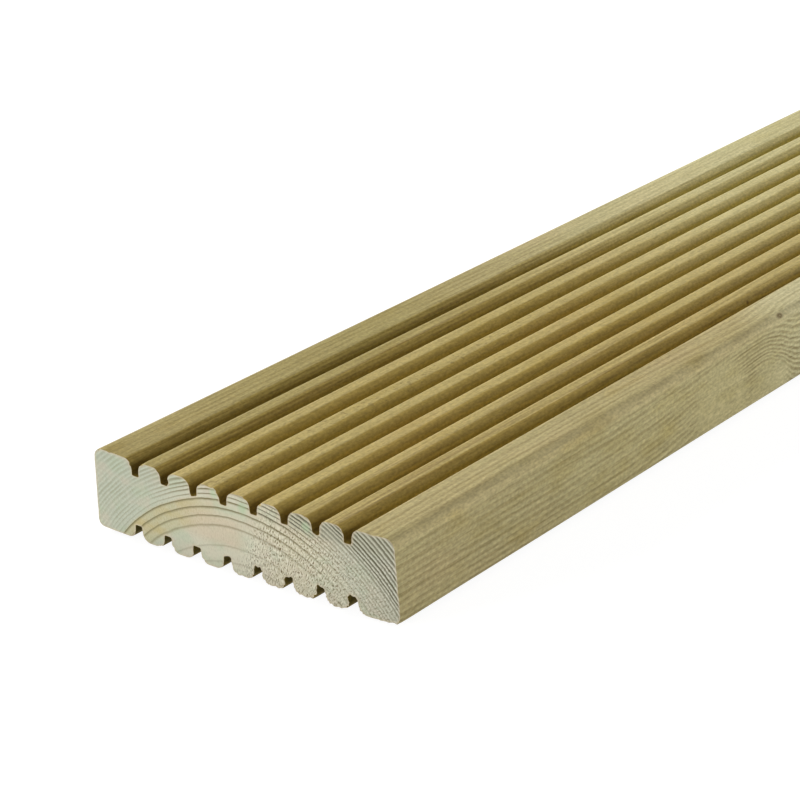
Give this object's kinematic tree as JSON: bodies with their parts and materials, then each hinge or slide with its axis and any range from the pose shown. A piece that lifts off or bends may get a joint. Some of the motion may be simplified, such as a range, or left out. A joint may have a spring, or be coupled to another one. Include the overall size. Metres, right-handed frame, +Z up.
{
  "type": "decking board",
  "caption": "Straight softwood decking board with rounded long edges, square-cut ends and lengthwise drainage grooves on both faces, to lay across joists.",
  "frame": {"origin": "middle of the underside, on the plane that the underside's reeds stand on", "axes": "+X across the board's width, +Y along its length and grain, +Z up through its thickness to the walking face"},
  "size_m": [0.12, 1.8, 0.028],
  "materials": {
    "treated_softwood": "planed, pressure-treated softwood with a green-brown tint, matt; sawn ends paler"
  },
  "bodies": {
    "root": {"decking_board": "treated_softwood"}
  },
  "joints": []
}
